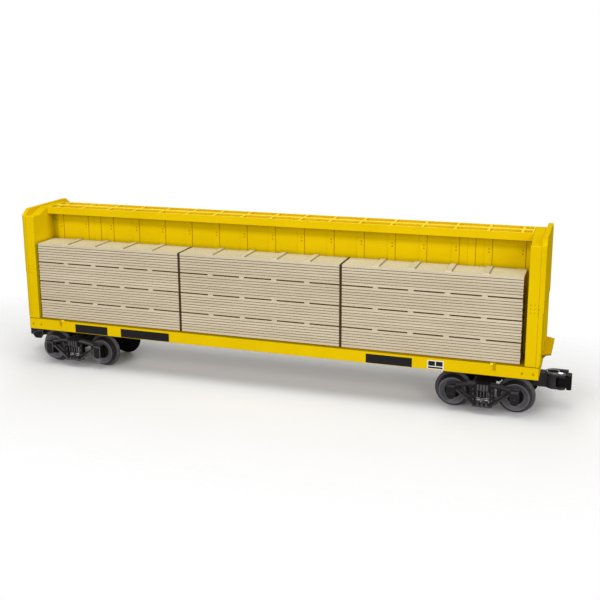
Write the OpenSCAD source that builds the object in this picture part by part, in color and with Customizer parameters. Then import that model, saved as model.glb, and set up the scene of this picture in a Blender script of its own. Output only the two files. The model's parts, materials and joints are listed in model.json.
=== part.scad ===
// Model lumber car for O gauge track: a flat car with a centre partition, two end bulkheads,
// a lumber block on each side, two sprung trucks and knuckle couplers.
// Millimetres. X runs along the car, the near side is -Y, Z is up from the bottom of the wheel flanges.

/* [Body] */
// Length over the end sills
body_len = 334; // [310:1:360]
// Width over the side sills
body_w = 57; // [55:0.5:62]
// Height of the deck above the rolling line
deck_z = 33.3; // [32:0.1:36]
// Height of the side and end sills
sill_h = 7.5; // [6:0.1:8.5]
// Thickness of the side and end sills
sill_t = 1.8; // [1.2:0.1:2.4]
// Thickness of the deck
deck_t = 2; // [1.5:0.1:3]
// Width of the centre sill
centre_sill_w = 12; // [8:0.5:14]
// Depth of the centre sill between the trucks
centre_sill_d = 12; // [8:0.5:13]
// Length of the deep part of the centre sill
centre_sill_belly = 176; // [120:2:186]
// Width of a body bolster along the car
body_bolster_w = 10; // [8:0.5:14]
// Depth of a body bolster below the deck
body_bolster_d = 5; // [4:0.1:6]
// Diameter of the small rivets on the sills
rivet_d = 1.4; // [0.8:0.1:2]
// Distance between the two rivets at each end of a sill
rivet_pitch = 6.1; // [4:0.1:8]
// Distance of the tie-down lugs from the ends of the sill
tie_down_inset = 24.5; // [18:0.5:40]
// Height of a tie-down lug
tie_down_h = 4.4; // [3:0.1:5]

/* [Bulkheads] */
// Height of the bulkhead corners above the deck
corner_h = 69.7; // [60:0.1:80]
// Length of the flat top of each corner, across the car
corner_flat = 8; // [6:0.1:10]
// Length from the inner face of a bulkhead to the sill ends
bulkhead_t = 7.9; // [7:0.1:9]
// Thickness of the end sheet
sheet_t = 2.8; // [2.4:0.1:3.6]
// How far the end sheet stands out past the sills
sheet_out = 1; // [0.8:0.1:1.6]
// Height of the end sheet above the bulkhead corners
sheet_rise = 4.2; // [3.9:0.1:6]
// Width of the end sheet along its top edge
sheet_top_w = 44.4; // [40:0.2:50]
// Height above the deck at which the upper end plate laps the lower one
lap_h = 31.7; // [20:0.1:45]
// How far the upper end plate stands proud of the lower one
lap_step = 0.4; // [0.3:0.05:0.7]
// Depth of the crossover platform along the car
platform_d = 5.1; // [4:0.1:8]
// Width of the crossover platform at the end sheet
platform_w = 37; // [30:0.5:50]
// Height of the platform's top above the deck
platform_h = 4.9; // [3:0.1:8]
// Thickness of the platform
platform_t = 1; // [0.8:0.1:1.6]

/* [Partition and top chord] */
// Thickness over the two partition sheets
partition_t = 10.4; // [8:0.1:14]
// Thickness of one partition sheet
partition_sheet_t = 1.5; // [1:0.1:2]
// Spacing of the partition posts
post_pitch = 19.1; // [16:0.1:24]
// Width of a partition post
post_w = 4.4; // [3:0.1:6]
// How far a post stands proud of its sheet
post_proud = 0.5; // [0.3:0.1:0.8]
// Width of the top chord
chord_w = 21.8; // [18:0.1:26]
// Height of the top chord
chord_h = 4.5; // [3.5:0.1:6]
// Height of the chord's top above the bulkhead corners
chord_rise = 3.7; // [3:0.1:3.8]
// Depth of the pockets in the chord's top
pocket_d = 2.2; // [1:0.1:3]
// Width of the chord's edge rails
chord_rail_w = 1.5; // [1:0.1:2.5]
// Width of the chord's middle rail
chord_mid_w = 4.8; // [3:0.1:6]
// Width of the chord's crossbars
chord_bar_w = 1.7; // [1.2:0.1:3]

/* [Lumber loads] */
// Gap between a load and the bulkhead on its tight side
load_gap_tight = 0.6; // [0.4:0.1:2]
// Gap between a load and the bulkhead on its open side
load_gap_open = 2.7; // [1:0.1:4]
// Set-back of a load from the outer face of the sill
load_inset = 2.5; // [1.5:0.1:4]
// Clearance under and behind a load
load_clear = 0.3; // [0.2:0.05:0.5]
// Length of the end bundle on the tight side
bundle_len = 103.2; // [95:0.1:110]
// Length of the middle bundle
mid_bundle_len = 105.9; // [95:0.1:110]
// Tiers in a load
tiers = 4; // [3:1:5]
// Height from one tier to the next
tier_pitch = 12.95; // [11:0.05:13]
// Boards in a tier
boards = 7; // [5:1:8]
// Height of the slot between two tiers
slot_h = 0.95; // [0.7:0.05:1.4]
// Depth of the slot between two tiers
slot_d = 6; // [3:0.5:8]
// Height of the groove between two boards
groove_h = 0.35; // [0.2:0.05:0.5]
// Depth of the groove between two boards
groove_d = 0.4; // [0.2:0.05:0.6]
// Width of a spacer
spacer_w = 3.3; // [2:0.1:5]
// Width of a cleat on top of a load
cleat_w = 3.3; // [1:0.1:5]
// Height of a cleat
cleat_h = 0.75; // [0.4:0.05:1]
// Width of a strap
strap_w = 1; // [0.6:0.1:2]
// Thickness of a strap
strap_t = 0.25; // [0.15:0.05:0.4]

/* [Wheels and axles] */
// Distance between the rail heads
gauge = 31.75; // [31:0.05:33]
// Radius of the wheel flange
flange_r = 11.2; // [10.4:0.1:12]
// Radius of the tread beside the flange
tread_r = 9.1; // [8.8:0.1:9.8]
// Radius of the tread at the outer face
rim_r = 8.2; // [7.8:0.1:8.7]
// Width of the tread
tread_w = 4.6; // [4:0.1:5.5]
// Width of the flange
flange_w = 1.7; // [1.4:0.1:2.2]
// Width of the rim ring on the outer face
rim_ring_w = 1.4; // [0.8:0.1:2]
// Depth of the dish in the outer face
dish_d = 1.3; // [0.6:0.1:2]
// Diameter of the wheel hub
hub_d = 6; // [5:0.1:7]
// Diameter of the axle
axle_d = 3; // [2.4:0.1:3.4]
// Diameter of the axle's journals
journal_d = 2; // [1.4:0.1:2.2]
// Running clearance round a journal, pin or kingpin
run_clear = 0.05; // [0.03:0.01:0.09]
// Seating clearance of pieces that don't turn on each other
seat_clear = 0.02; // [0.01:0.01:0.05]

/* [Trucks] */
// Distance of a truck's centre from the end of the body
truck_inset = 31; // [28:0.5:40]
// Distance between the axles of a truck
wheelbase = 36.3; // [34:0.1:40]
// Gap between the wheel's outer face and the sideframe
frame_gap = 1; // [0.6:0.1:1.6]
// Thickness of a sideframe
frame_t = 3.7; // [3.3:0.1:4.5]
// Height of the sideframe's top above the axle
frame_top = 8.1; // [7.6:0.1:9]
// Depth of the sideframe's foot below the axle
frame_foot = 6.2; // [5.8:0.1:7]
// Thickness of the sideframe's spring seat
seat_t = 2.4; // [1.6:0.1:2.8]
// Width of the columns beside the bolster
column_w = 1.9; // [1.5:0.1:2.4]
// Width of a journal box
journal_box_w = 5.5; // [4.8:0.1:5.8]
// Height of a flange strip on the sideframe's outer face
frame_flange_t = 0.6; // [0.3:0.1:1]
// Width of the bolster's end between the columns
bolster_w = 8.2; // [7.8:0.1:9]
// Width of the bolster between the wheels
bolster_mid_w = 12; // [9:0.5:13]
// Height of the bolster
bolster_h = 4.4; // [4:0.1:5]
// Height of the bolster's underside above the axle
bolster_rise = 3.8; // [3.5:0.1:4.2]
// Diameter of the centre plate
centre_plate_d = 14; // [11:0.5:18]
// Height of the centre plate
centre_plate_h = 2.2; // [1.8:0.1:3]
// Diameter of the kingpin
kingpin_d = 4; // [3:0.1:5]
// Diameter of the kingpin's head
kingpin_head_d = 6.8; // [6:0.1:8]
// Thickness of the kingpin's head
kingpin_head_h = 1.6; // [1.2:0.1:2]
// Thickness of the washer on the centre plate
washer_t = 0.6; // [0.4:0.1:1]
// Play above and below the parts that turn on the kingpin
swivel_play = 0.1; // [0.05:0.05:0.2]

/* [Springs] */
// Outside diameter of a spring
spring_od = 3.6; // [3.2:0.1:3.8]
// Diameter of the spring wire
wire_d = 0.7; // [0.5:0.05:0.75]
// Curls in a spring
curls = 5; // [4:1:5]
// Distance between the two springs of a sideframe
spring_pitch = 4.6; // [4.5:0.05:4.8]

/* [Couplers] */
// Distance from the truck's centre to the knuckle's front face
coupler_reach = 48.5; // [46:0.1:52]
// Width of the coupler head
head_w = 12; // [11:0.1:13]
// Height of the coupler head
head_h = 8.9; // [8.4:0.1:10]
// Height of the head's underside above the axle
head_rise = 2.4; // [2.2:0.1:3]
// Length of the coupler head behind the knuckle's pin
head_len = 9.2; // [8.5:0.1:10]
// Thickness of the ears above and below the knuckle
ear_t = 1.4; // [1.1:0.1:1.8]
// Width of the coupler shank
shank_w = 7.2; // [6:0.1:9]
// Height of the coupler shank
shank_h = 3; // [2.4:0.1:3]
// Width of the bolster's draft tongue
tongue_w = 10; // [8:0.5:12]
// Diameter of the knuckle pin
knuckle_pin_d = 1.8; // [1.4:0.1:2.2]
// Radius of the knuckle's hub
knuckle_hub_r = 2.3; // [2:0.1:2.4]
// Thickness of the knuckle's nose
nose_t = 3; // [2.4:0.1:3.2]
// Diameter of the coupler rivets
coupler_rivet_d = 2.4; // [1.8:0.1:3]
// Thickness of the uncoupling tab
tab_t = 2; // [1.4:0.1:2.6]
// Height of the uncoupling tab's paddle
tab_h = 5.7; // [4.5:0.1:6.5]

/* [Brake wheel] */
// Diameter of the brake wheel
brake_wheel_d = 15; // [12:0.5:18]
// Height of the brake wheel's centre above the deck
brake_wheel_h = 44; // [40:0.5:52]
// Distance of the brake wheel's centre from the middle of the end, towards the far side
brake_wheel_y = 10; // [0:0.5:14]

/* [Screws] */
// Diameter of the screws that hold the bulkheads
screw_d = 2.4; // [2:0.1:3]
// Length of those screws above the deck's underside
screw_len = 10; // [7:0.5:14]

/* [Hidden] */
$fn = 48;

body_yellow = [0.93, 0.76, 0.02];
lumber_tan = [0.82, 0.76, 0.64];
strap_brown = [0.17, 0.09, 0.07];
iron_black = [0.09, 0.09, 0.10];
wheel_grey = [0.26, 0.26, 0.27];
bright_steel = [0.72, 0.72, 0.74];

// Directions along and across the car
left = -1;
right = 1;
near = -1;
far = 1;
outer = 1;
inner = -1;

// Overlap of cutters past a face
over = 0.5;

// Body levels and limits
half_len = body_len / 2;
half_w = body_w / 2;
sill_z = deck_z - sill_h;
deck_bottom = deck_z - deck_t;
deck_half_len = half_len - sill_t;
deck_half_w = half_w - sill_t;
truck_x = half_len - truck_inset;
rivet_sink = 0.3;
rivet_inset = 2.9;
rivet_rise = sill_h * 0.45;
lug_w = 1.4;
lug_t = 0.6;
lug_cap = 0.2;

// Bulkhead, partition and chord levels
bay_half = half_len - bulkhead_t;
corner_z = deck_z + corner_h;
chord_top = corner_z + chord_rise;
chord_bottom = chord_top - chord_h;
sheet_top = corner_z + sheet_rise;
lap_z = deck_z + lap_h;
sheet_face = half_len + sheet_out;
sheet_back = sheet_face - sheet_t;
low_face = sheet_face - lap_step;
sheet_lift = 1.2;
bevel_x = sheet_back + 0.9;
bevel_d = 1;
end_rib_w = 1.6;
end_rib_y = 9;
platform_top = deck_z + platform_h;
platform_taper = 3;
bracket_t = 1.2;
bracket_y = platform_w * 0.3;
partition_half = partition_t / 2;
post_count = floor((bay_half - post_w) / post_pitch);
extra_post = (post_count - 1.5) * post_pitch;
chord_half_len = bay_half - seat_clear;
pocket_w = (chord_w - chord_mid_w) / 2 - chord_rail_w;
post_places = [for (k = [-post_count:post_count]) k * post_pitch];
bar_edges = concat([-chord_half_len], post_places, [chord_half_len]);

// Lumber loads
load_front = half_w - load_inset;
load_back = partition_half + post_proud + load_clear;
load_z = deck_z + load_clear;
load_x0 = -bay_half + load_gap_tight;
load_x1 = bay_half - load_gap_open;
tier_h = tier_pitch - slot_h;
board_h = (tier_h - (boards - 1) * groove_h) / boards;
load_top = load_z + tiers * tier_pitch - slot_h;
strap_x = [load_x0 + bundle_len, load_x0 + bundle_len + mid_bundle_len];
bundle_edges = concat([load_x0], strap_x, [load_x1]);
spacers = 4;
spacer_shy = 0.25;
cleat_shy = 1.2;
fuse = 0.1;

// Wheelsets
axle_z = flange_r;
half_base = wheelbase / 2;
wheel_face = gauge / 2 + tread_w;
wheel_w = tread_w + flange_w;
hub_shy = 0.3;
edge_break = 0.25;
axle_half = wheel_face + frame_gap / 2;
frame_in = wheel_face + frame_gap;
frame_out = frame_in + frame_t;
journal_half = frame_in + frame_t * 0.68;

// Sideframe outline, heights measured from the axle
column_in = bolster_w / 2 + 0.2;
column_out = column_in + column_w;
box_half = journal_box_w / 2;
box_top = frame_top - 2.1;
box_drop = 3.5;
foot_steps = 8;
foot_half = column_out - 0.8;
foot_out = foot_half + 0.9;
foot_z = 1.4 - frame_foot;
spring_seat = seat_t - frame_foot;
arm_z = 2.3;
top_bar = 2.2;
window_in = column_out + 0.4;
window_out = half_base - box_half - 1.8;
window_z = 5.6 - frame_foot;
strip_w = 0.9;
lid_half = box_half - 0.35;
lid_top = box_top - 0.7;
lid_drop = box_drop - 0.4;
lid_t = 1;

// Bolster, kingpin and the seat of the car body
bolster_z = axle_z + bolster_rise;
bolster_top = bolster_z + bolster_h;
plate_top = bolster_top + centre_plate_h;
washer_z = plate_top + swivel_play;
boss_bottom = washer_z + washer_t + swivel_play;
bolster_end = frame_out + 1.1;
kingpin_r = kingpin_d / 2;
kingpin_head_z = bolster_z - 2 * swivel_play - kingpin_head_h;
kingpin_top = deck_bottom - 1;

// Coupler places, from the truck's centre
head_z = axle_z + head_rise;
head_top = head_z + head_h;
pin_x = coupler_reach - 6.3;
pin_y = -3.5;
head_back = pin_x - head_len;
nose_back = coupler_reach - nose_t;
ear_r = nose_back - pin_x - 0.3;
mouth_x = pin_x - 0.9;
mouth_y0 = pin_y + ear_r;
guard_w = 1.8;
guard_tip = coupler_reach - 2.2;
shank_back = half_base - 8;
shank_top = head_z + shank_h;
neck_top = head_top - 0.6;
tongue_len = half_base + 9;
neck_back = tongue_len + 1.5;
rivet_x = [half_base - 5.7, half_base + 5.9];
rivet_head_h = 0.5;
rivet_head_d = coupler_rivet_d + 1.6;
knuckle_play = 0.1;
knuckle_z0 = head_z + ear_t + knuckle_play;
knuckle_z1 = head_top - ear_t - knuckle_play;
nose_z0 = head_z + 0.2;
nose_z1 = head_top - 0.2;
nose_tip = 1.2;
well_d = 1.6;
well_wall = 0.5;
well_r = 3.2;
tab_in = head_w / 2 + 0.4;
tab_pivot_x = head_back + 3.5;
tab_pivot_z = head_z + 2.6;
tab_pin_d = 1.6;
tab_pin_len = 3.4;
tab_front = tab_pivot_x + 6.5;

// Screws
screw_x = (bay_half + sheet_back) / 2;
screw_y = half_w - 6.5;
screw_head_d = screw_d + 1.8;
screw_head_h = 1.2;

// Brake gear
brake_z = deck_z + brake_wheel_h;
housing_w = 9;
housing_h = 11;
housing_t = 2.6;
brake_shaft_d = 1.8;
bore_floor = 0.95;
brake_gap = 0.6;
brake_hub_d = 3.6;
brake_hub_t = 2;
brake_rim_d = 1.4;
brake_spokes = 5;
brake_spoke_w = 1;

// Places

module at_end(end) rotate([0, 0, end < 0 ? 180 : 0]) children();

module at_truck(end) translate([end * truck_x, 0, 0]) at_end(end) children();

module at_axle(end, axle) at_truck(end) translate([axle * half_base, 0, axle_z]) children();

// Extrudes a (Y, Z) outline along X from x0 to x1
module across(x0, x1) translate([x0, 0, 0]) rotate([90, 0, 90]) linear_extrude(x1 - x0) children();

// Extrudes an (X, Z) outline along Y from y0 to y1
module along(y0, y1) translate([0, y1, 0]) rotate([90, 0, 0]) linear_extrude(y1 - y0) children();

// Box between two corners
module block(low, high) translate(low) cube(high - low);

// Solid between the planes y = a and y = b on the given side
module side_block(side, x0, x1, y_in, y_out, z0, z1)
    block([x0, side < 0 ? -y_out : y_in, z0], [x1, side < 0 ? -y_in : y_out, z1]);

function mirrored(points) = [for (k = [len(points) - 1:-1:0]) [-points[k][0], points[k][1]]];

// Car body

module deck() color(body_yellow) difference() {
    block([-deck_half_len, -deck_half_w, deck_bottom], [deck_half_len, deck_half_w, deck_z]);
    screw_places(deck_bottom - over) cylinder(d = screw_d + 2 * seat_clear, h = deck_t + 2 * over);
}

module side_sill(side) color(body_yellow) difference() {
    side_block(side, -half_len, half_len, deck_half_w, half_w, sill_z, deck_z);
    for (end = [left, right], k = [0, 1])
        translate([end * (half_len - rivet_inset - k * rivet_pitch), side * half_w, sill_z + rivet_rise])
            rotate([90, 0, 0]) cylinder(d = rivet_d, h = 2 * rivet_sink, center = true);
}

module end_sill(end) color(body_yellow) at_end(end)
    block([deck_half_len, -deck_half_w, sill_z], [half_len, deck_half_w, deck_z]);

module centre_sill() color(body_yellow) along(-centre_sill_w / 2, centre_sill_w / 2) {
    end_x = truck_x - body_bolster_w / 2;
    belly_x = centre_sill_belly / 2;
    shallow = deck_bottom - body_bolster_d;
    deep = deck_bottom - centre_sill_d;
    flank = [[end_x, deck_bottom], [end_x, shallow], [belly_x + shallow - deep, shallow], [belly_x, deep]];
    polygon(concat(flank, mirrored(flank)));
}

module body_bolster(end) color(body_yellow) at_truck(end) difference() {
    union() {
        half = body_bolster_w / 2;
        block_z = deck_bottom - body_bolster_d;
        block([-half, -deck_half_w, block_z], [half, deck_half_w, deck_bottom]);
        translate([0, 0, boss_bottom]) cylinder(d = centre_plate_d, h = block_z - boss_bottom);
    }
    translate([0, 0, boss_bottom - over])
        cylinder(r = kingpin_r + seat_clear, h = kingpin_top - boss_bottom + over);
}

module bulkhead(end) color(body_yellow) difference() {
    at_end(end) across(bay_half, sheet_back) {
        edge = [[half_w, deck_z], [half_w, corner_z], [half_w - corner_flat, corner_z],
            [chord_w / 2, chord_top]];
        polygon(concat(edge, mirrored(edge)));
    }
    screw_places(deck_bottom) cylinder(d = screw_d + 2 * seat_clear, h = screw_len + seat_clear);
}

// Two lapped plates with ribs on the lower one and a bevel down both upright edges
module end_sheet(end) color(body_yellow) at_end(end) difference() {
    union() {
        across(sheet_back, sheet_face) {
            edge = [[half_w, lap_z], [half_w, corner_z], [sheet_top_w / 2, sheet_top]];
            polygon(concat(edge, mirrored(edge)));
        }
        block([sheet_back, -half_w, deck_z + sheet_lift], [low_face, half_w, lap_z + fuse]);
        block([sheet_back, -half_w, deck_z], [half_len, half_w, deck_z + sheet_lift + fuse]);
        for (side = [near, far]) side_block(side, sheet_back, sheet_face,
            end_rib_y, end_rib_y + end_rib_w, platform_top, lap_z + fuse);
    }
    for (side = [near, far]) bevel_cut(side);
}

// Cutter for the bevel of an end sheet
module bevel_cut(side) translate([0, 0, deck_z - over]) linear_extrude(sheet_top - deck_z)
    polygon([[bevel_x, side * (half_w + over)], [bevel_x, side * half_w],
        [sheet_face, side * (half_w - bevel_d)], [sheet_face + over, side * (half_w - bevel_d)],
        [sheet_face + over, side * (half_w + over)]]);

module platform(end) color(body_yellow) at_end(end) {
    x0 = low_face;
    x1 = x0 + platform_d;
    half = platform_w / 2;
    translate([0, 0, platform_top - platform_t]) linear_extrude(platform_t)
        polygon([[x0, -half], [x1, platform_taper - half], [x1, half - platform_taper], [x0, half]]);
    for (side = [near, far]) along(side * bracket_y - bracket_t / 2, side * bracket_y + bracket_t / 2)
        polygon([[x0, deck_z + seat_clear], [x0, platform_top - platform_t / 2],
            [x1 - platform_t, platform_top - platform_t / 2],
            [x1 - platform_t, platform_top - platform_t]]);
}

module partition(side) color(body_yellow) {
    sheet_in = partition_half - partition_sheet_t;
    side_block(side, -chord_half_len, chord_half_len, sheet_in, partition_half, deck_z, chord_bottom);
    for (x = concat(post_places, [-extra_post, extra_post]))
        side_block(side, x - post_w / 2, x + post_w / 2, sheet_in, partition_half + post_proud,
            deck_z, chord_bottom);
}

module top_chord() color(body_yellow) difference() {
    block([-chord_half_len, -chord_w / 2, chord_bottom], [chord_half_len, chord_w / 2, chord_top]);
    for (k = [0:len(bar_edges) - 2], side = [near, far])
        side_block(side, bar_edges[k] + chord_bar_w / 2, bar_edges[k + 1] - chord_bar_w / 2,
            chord_mid_w / 2, chord_mid_w / 2 + pocket_w, chord_top - pocket_d, chord_top + over);
}

module tie_downs() color(body_yellow)
    for (end = [left, right], side = [near, far]) {
        x0 = end * (half_len - tie_down_inset) - lug_w / 2;
        x1 = x0 + lug_w;
        lug_top = deck_z + lug_cap;
        side_block(side, x0, x1, half_w, half_w + lug_t, deck_z - tie_down_h, lug_top);
        side_block(side, x0, x1, deck_half_w, half_w + lug_t, deck_z, lug_top);
    }

module screw_places(z) for (end = [left, right], side = [near, far])
    translate([end * screw_x, side * screw_y, z]) children();

module body_screws() color(bright_steel) {
    screw_places(deck_bottom - screw_head_h) cylinder(d = screw_head_d, h = screw_head_h);
    screw_places(deck_bottom - fuse) cylinder(d = screw_d, h = screw_len + fuse);
}

module brake_housing() color(iron_black) at_end(left) difference() {
    block([sheet_face, -brake_wheel_y - housing_w / 2, brake_z - housing_h * 0.6],
        [sheet_face + housing_t, housing_w / 2 - brake_wheel_y, brake_z + housing_h * 0.4]);
    translate([sheet_face + bore_floor, -brake_wheel_y, brake_z])
        rotate([0, 90, 0]) cylinder(d = brake_shaft_d + 2 * run_clear, h = housing_t);
}

module brake_wheel() color(iron_black) at_end(left)
    translate([sheet_face + housing_t, -brake_wheel_y, brake_z]) rotate([0, 90, 0]) {
        rim_r = (brake_wheel_d - brake_rim_d) / 2;
        shaft_len = housing_t - bore_floor - run_clear;
        translate([0, 0, brake_gap]) cylinder(d = brake_hub_d, h = brake_hub_t);
        translate([0, 0, -shaft_len]) cylinder(d = brake_shaft_d, h = shaft_len + brake_gap + fuse);
        translate([0, 0, brake_gap + brake_hub_t / 2]) {
            rotate_extrude() translate([rim_r, 0]) circle(d = brake_rim_d);
            for (k = [0:brake_spokes - 1]) rotate([0, 0, k * 360 / brake_spokes])
                translate([rim_r / 2, 0, 0]) cube([rim_r, brake_spoke_w, brake_spoke_w], center = true);
        }
    }

// Lumber loads: one grooved block per side, each strapped where its bundles meet

// Outer face of a load from bottom to top, as (Y, Z) points, one board after another
load_face = [for (t = [0:tiers - 1], b = [0:boards - 1])
    let (z0 = load_z + t * tier_pitch + b * (board_h + groove_h), z1 = z0 + board_h)
    let (slot = b == boards - 1, top = slot && t == tiers - 1)
    let (cut = load_front - (slot ? slot_d : groove_d), z2 = z1 + (slot ? slot_h : groove_h))
    each concat([[load_front, z0], [load_front, z1]], top ? [] : [[cut, z1], [cut, z2]])];

module lumber(side) color(lumber_tan) at_end(-side) mirror([0, 1, 0]) {
    across(load_x0, load_x1) polygon(concat([[load_back, load_z]], load_face, [[load_back, load_top]]));
    for (k = [0:len(bundle_edges) - 2], j = [0:spacers - 1]) {
        bundle = bundle_edges[k + 1] - bundle_edges[k];
        x = bundle_edges[k] + bundle * (j + 1) / (spacers + 1);
        for (t = [1:tiers - 1]) {
            slot_z = load_z + t * tier_pitch - slot_h;
            block([x - spacer_w / 2, load_front - slot_d - fuse, slot_z - fuse],
                [x + spacer_w / 2, load_front - spacer_shy, slot_z + slot_h + fuse]);
        }
        block([x - cleat_w / 2, load_back, load_top - fuse],
            [x + cleat_w / 2, load_front - cleat_shy, load_top + cleat_h]);
    }
}

module straps(side) color(strap_brown) at_end(-side) mirror([0, 1, 0]) for (x = strap_x) {
    half = strap_w / 2;
    strap_top = load_top + strap_t;
    block([x - half, load_front, load_z], [x + half, load_front + strap_t, strap_top]);
    block([x - half, load_back, load_top], [x + half, load_front + fuse / 2, strap_top]);
}

// Trucks

module kingpin(end) color(bright_steel) at_truck(end) {
    translate([0, 0, kingpin_head_z]) cylinder(d = kingpin_head_d, h = kingpin_head_h);
    translate([0, 0, kingpin_head_z + fuse])
        cylinder(r = kingpin_r, h = kingpin_top - seat_clear - kingpin_head_z - fuse);
}

module washer(end) color(bright_steel) at_truck(end) translate([0, 0, washer_z]) difference() {
    cylinder(d = centre_plate_d - 2, h = washer_t);
    translate([0, 0, -over]) cylinder(r = kingpin_r + seat_clear, h = washer_t + 2 * over);
}

module bolster(end) color(iron_black) at_truck(end) difference() {
    union() {
        mid = bolster_mid_w / 2;
        block([-bolster_w / 2, -bolster_end, bolster_z], [bolster_w / 2, bolster_end, bolster_top]);
        block([-mid, seat_clear - frame_in, bolster_z], [mid, frame_in - seat_clear, bolster_top]);
        block([0, -tongue_w / 2, shank_top], [tongue_len, tongue_w / 2, bolster_top]);
        translate([0, 0, bolster_z]) cylinder(d = centre_plate_d, h = plate_top - bolster_z);
    }
    translate([0, 0, bolster_z - over])
        cylinder(r = kingpin_r + run_clear, h = plate_top - bolster_z + 2 * over);
    for (x = rivet_x) translate([x, 0, shank_top - over])
        cylinder(d = coupler_rivet_d + 2 * seat_clear, h = bolster_top - shank_top + 2 * over);
}

// Round lower end of a journal box or its lid, from its far side to its near side
function round_foot(half, drop) = [for (k = [0:foot_steps]) let (a = 180 * k / foot_steps)
    [half_base + half * cos(a), half - drop - half * sin(a)]];

module sideframe_outline() difference() {
    flank = [[column_in, frame_top], [column_out + 0.8, frame_top], [half_base - box_half, box_top + 0.4],
        [half_base + box_half, box_top], each round_foot(box_half, box_drop),
        [half_base - box_half, arm_z], [foot_out, foot_z], [foot_half, -frame_foot]];
    polygon(concat(flank, mirrored(flank), [[-column_in, spring_seat], [column_in, spring_seat]]));
    opening = [[window_in, frame_top - top_bar], [window_out, box_top - 1.1],
        [window_out - 0.2, arm_z + 0.9], [window_in + 1.7, window_z], [window_in, window_z]];
    polygon(opening);
    polygon(mirrored(opening));
}

// Raised strips along the top and the lower edge of one half of the sideframe
module sideframe_strips() {
    polygon([[column_in, frame_top], [column_out + 0.8, frame_top], [half_base - box_half, box_top + 0.4],
        [half_base - box_half, box_top + 0.4 - strip_w], [column_out + 0.8, frame_top - strip_w],
        [column_in, frame_top - strip_w]]);
    polygon([[half_base - box_half, arm_z], [foot_out, foot_z], [foot_half, -frame_foot],
        [0, -frame_foot], [0, strip_w - frame_foot], [foot_half - 0.5, strip_w - frame_foot],
        [foot_out - 0.7, foot_z + strip_w * 0.6], [half_base - box_half, arm_z + strip_w * 1.2]]);
}

// Journal box lid with a round lower end
module lid_outline() polygon(concat(
    [[half_base - lid_half, lid_top], [half_base + lid_half, lid_top]], round_foot(lid_half, lid_drop)));

module sideframe(end, side) color(iron_black) at_truck(end) translate([0, 0, axle_z])
    mirror([0, side * end < 0 ? 1 : 0, 0]) difference() {
        union() {
            along(frame_in, frame_out) sideframe_outline();
            for (flip = [0, 1]) mirror([flip, 0, 0]) {
                along(frame_out - fuse, frame_out + frame_flange_t) sideframe_strips();
                along(frame_out - fuse, frame_out + lid_t) lid_outline();
            }
        }
        for (axle = [inner, outer]) translate([axle * half_base, frame_in - over, 0]) rotate([-90, 0, 0])
            cylinder(d = journal_d + 2 * run_clear, h = journal_half - frame_in + over + run_clear);
    }

// Spring: one unbroken helical tube between the spring seat and the bolster, with straight upright ends

spring_z = axle_z + spring_seat;
spring_len = bolster_z - spring_z;
helix_r = (spring_od - wire_d) / 2;
rings_per_curl = 8;
tube_sides = 6;
helix_rings = rings_per_curl * curls;
ease = 0.06;

// Share of the turning done at a share u of the rise: starts and ends upright
function turned(u) = (u < ease ? u * u / (2 * ease)
    : u > 1 - ease ? 1 - ease - (1 - u) * (1 - u) / (2 * ease) : u - ease / 2) / (1 - ease);

// Angle and height of each ring's centre
helix_rise = spring_len - 2 * wire_d;
spring_path = concat([[0, 0]],
    [for (k = [0:helix_rings]) let (u = k / helix_rings) [360 * curls * turned(u), wire_d + helix_rise * u]],
    [[360 * curls, spring_len]]);
function path_point(p) = [helix_r * cos(p[0]), helix_r * sin(p[0]), p[1]];
spring_points = [for (p = spring_path) path_point(p)];
spring_last = len(spring_path) - 1;

function heading(k) = k <= 1 || k >= spring_last - 1 ? [0, 0, 1]
    : let (d = spring_points[k + 1] - spring_points[k - 1]) d / norm(d);

function ring(k) = let (turn = spring_path[k][0], out = [cos(turn), sin(turn), 0])
    let (up = cross(heading(k), out)) [for (s = [0:tube_sides - 1]) let (a = 360 * s / tube_sides)
        spring_points[k] + wire_d / 2 * (cos(a) * out + sin(a) * up)];

tube_points = [for (k = [0:spring_last]) each ring(k)];
tube_faces = concat(
    [for (k = [0:spring_last - 1], s = [0:tube_sides - 1])
        let (a = k * tube_sides + s, b = k * tube_sides + (s + 1) % tube_sides)
        each [[a, a + tube_sides, b], [b, a + tube_sides, b + tube_sides]]],
    [for (s = [1:tube_sides - 2]) each [[0, s, s + 1],
        [spring_last * tube_sides, spring_last * tube_sides + s + 1, spring_last * tube_sides + s]]]);

// Least gap of the tube to itself, between points more than half a curl apart
apart = rings_per_curl / 2 + 1;
spring_gap = min([for (a = [0:spring_last - apart], b = [a + apart:spring_last])
    norm(spring_points[b] - spring_points[a])]) - wire_d;
echo("least gap of a spring to itself", spring_gap);

module springs(end) color(bright_steel) at_truck(end)
    for (side = [near, far], k = [-1, 1])
        translate([k * spring_pitch / 2, side * (frame_in + frame_t / 2), spring_z])
            polyhedron(tube_points, tube_faces);

// Wheelsets

module axle(end, axle) color(bright_steel) at_axle(end, axle) rotate([90, 0, 0]) {
    cylinder(d = axle_d, h = 2 * axle_half, center = true);
    cylinder(d = journal_d, h = 2 * journal_half, center = true);
}

module wheel_profile() {
    bore_r = axle_d / 2 + seat_clear;
    hub_r = hub_d / 2;
    ring_in = rim_r - rim_ring_w;
    tip_r = flange_w * 0.32;
    polygon([[bore_r, hub_shy], [hub_r, hub_shy], [hub_r + edge_break, dish_d],
        [ring_in - edge_break, dish_d], [ring_in, 0], [rim_r - edge_break, 0], [rim_r, edge_break],
        [tread_r, tread_w],
        [flange_r - tip_r, wheel_w - 2 * tip_r], [flange_r - tip_r, wheel_w], [bore_r, wheel_w]]);
    translate([flange_r - tip_r, wheel_w - tip_r]) circle(r = tip_r);
}

module wheel(end, axle, side) color(wheel_grey) at_axle(end, axle) {
    out = side * end;
    translate([0, out * wheel_face, 0]) rotate([out * 90, 0, 0]) rotate_extrude($fn = 72) wheel_profile();
}

// Couplers

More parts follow.
